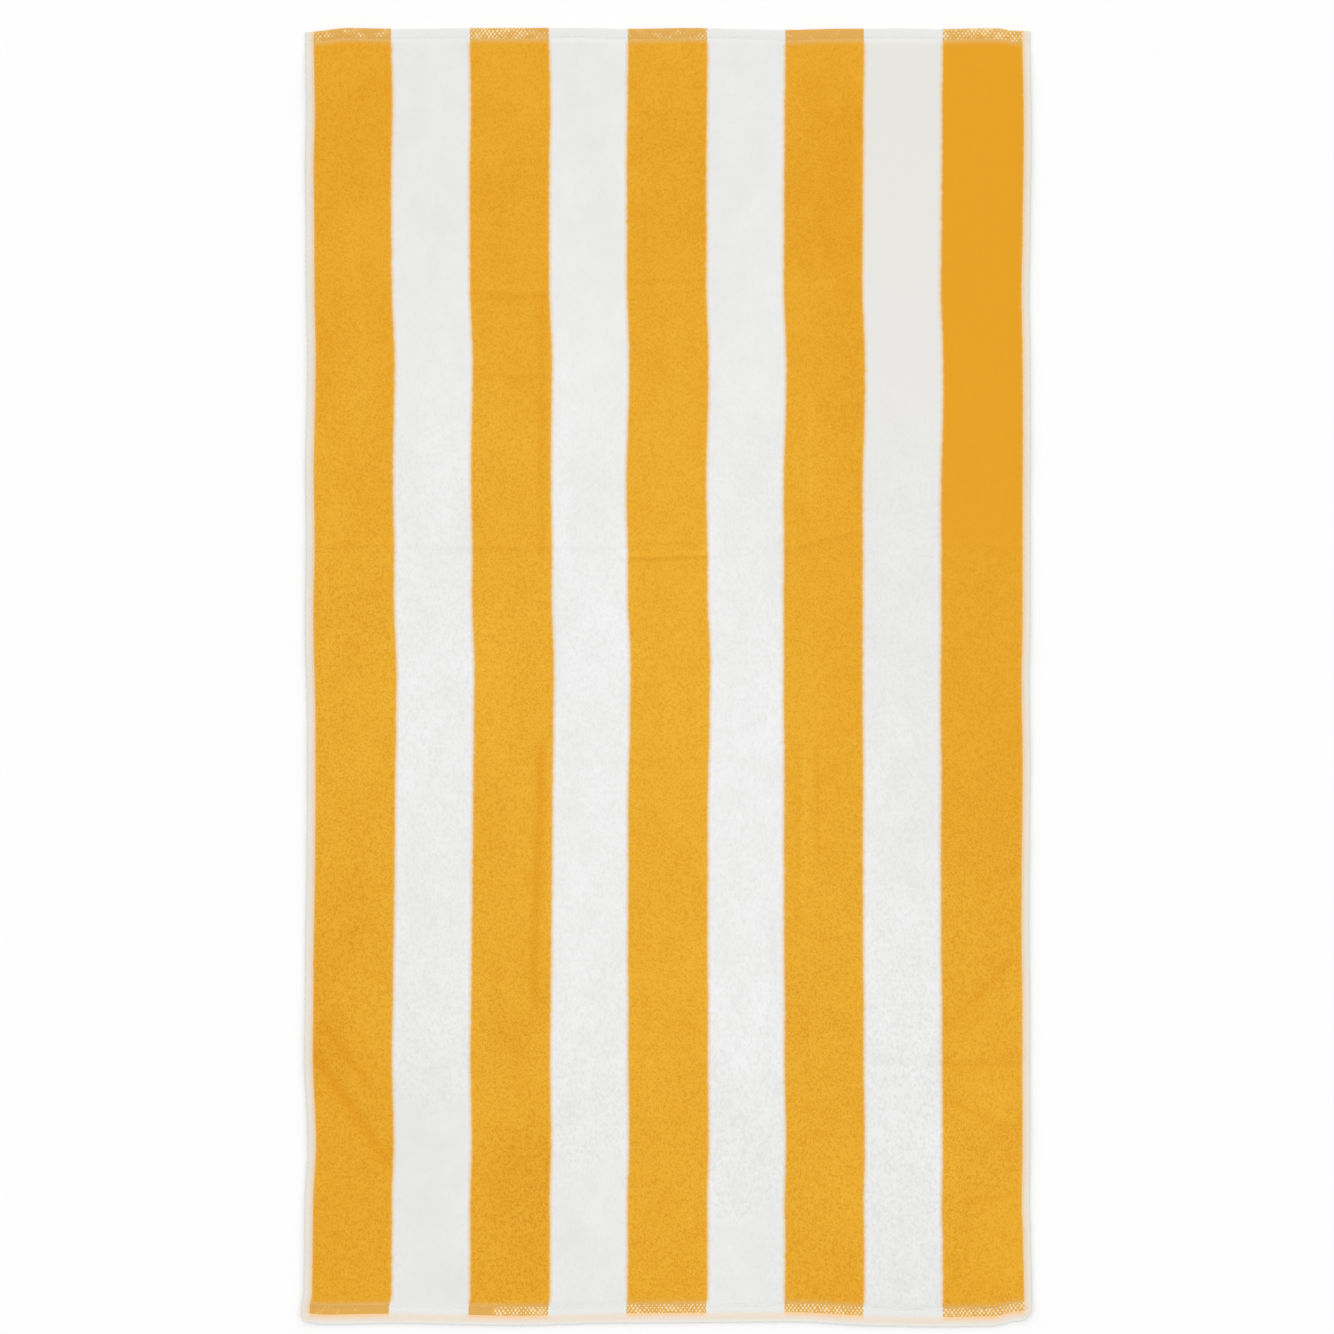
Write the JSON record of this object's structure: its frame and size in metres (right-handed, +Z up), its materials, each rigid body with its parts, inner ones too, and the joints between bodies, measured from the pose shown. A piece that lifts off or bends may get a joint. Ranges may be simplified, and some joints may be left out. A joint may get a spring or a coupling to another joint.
{
  "type": "beach towel",
  "caption": "Large rectangular beach towel of cotton velour in broad lengthwise yellow and white stripes, hemmed all round, spread flat.",
  "frame": {"origin": "on the floor, under the middle of the towel's bounding box", "axes": "+X across the towel, +Y along its stripes, +Z up out of the pile face"},
  "size_m": [0.9086, 1.6158, 0.0046],
  "materials": {
    "cotton_velour": "matt cut pile in yellow and white stripes, flat-woven hems"
  },
  "bodies": {
    "root": {"towel": "cotton_velour"}
  },
  "joints": []
}
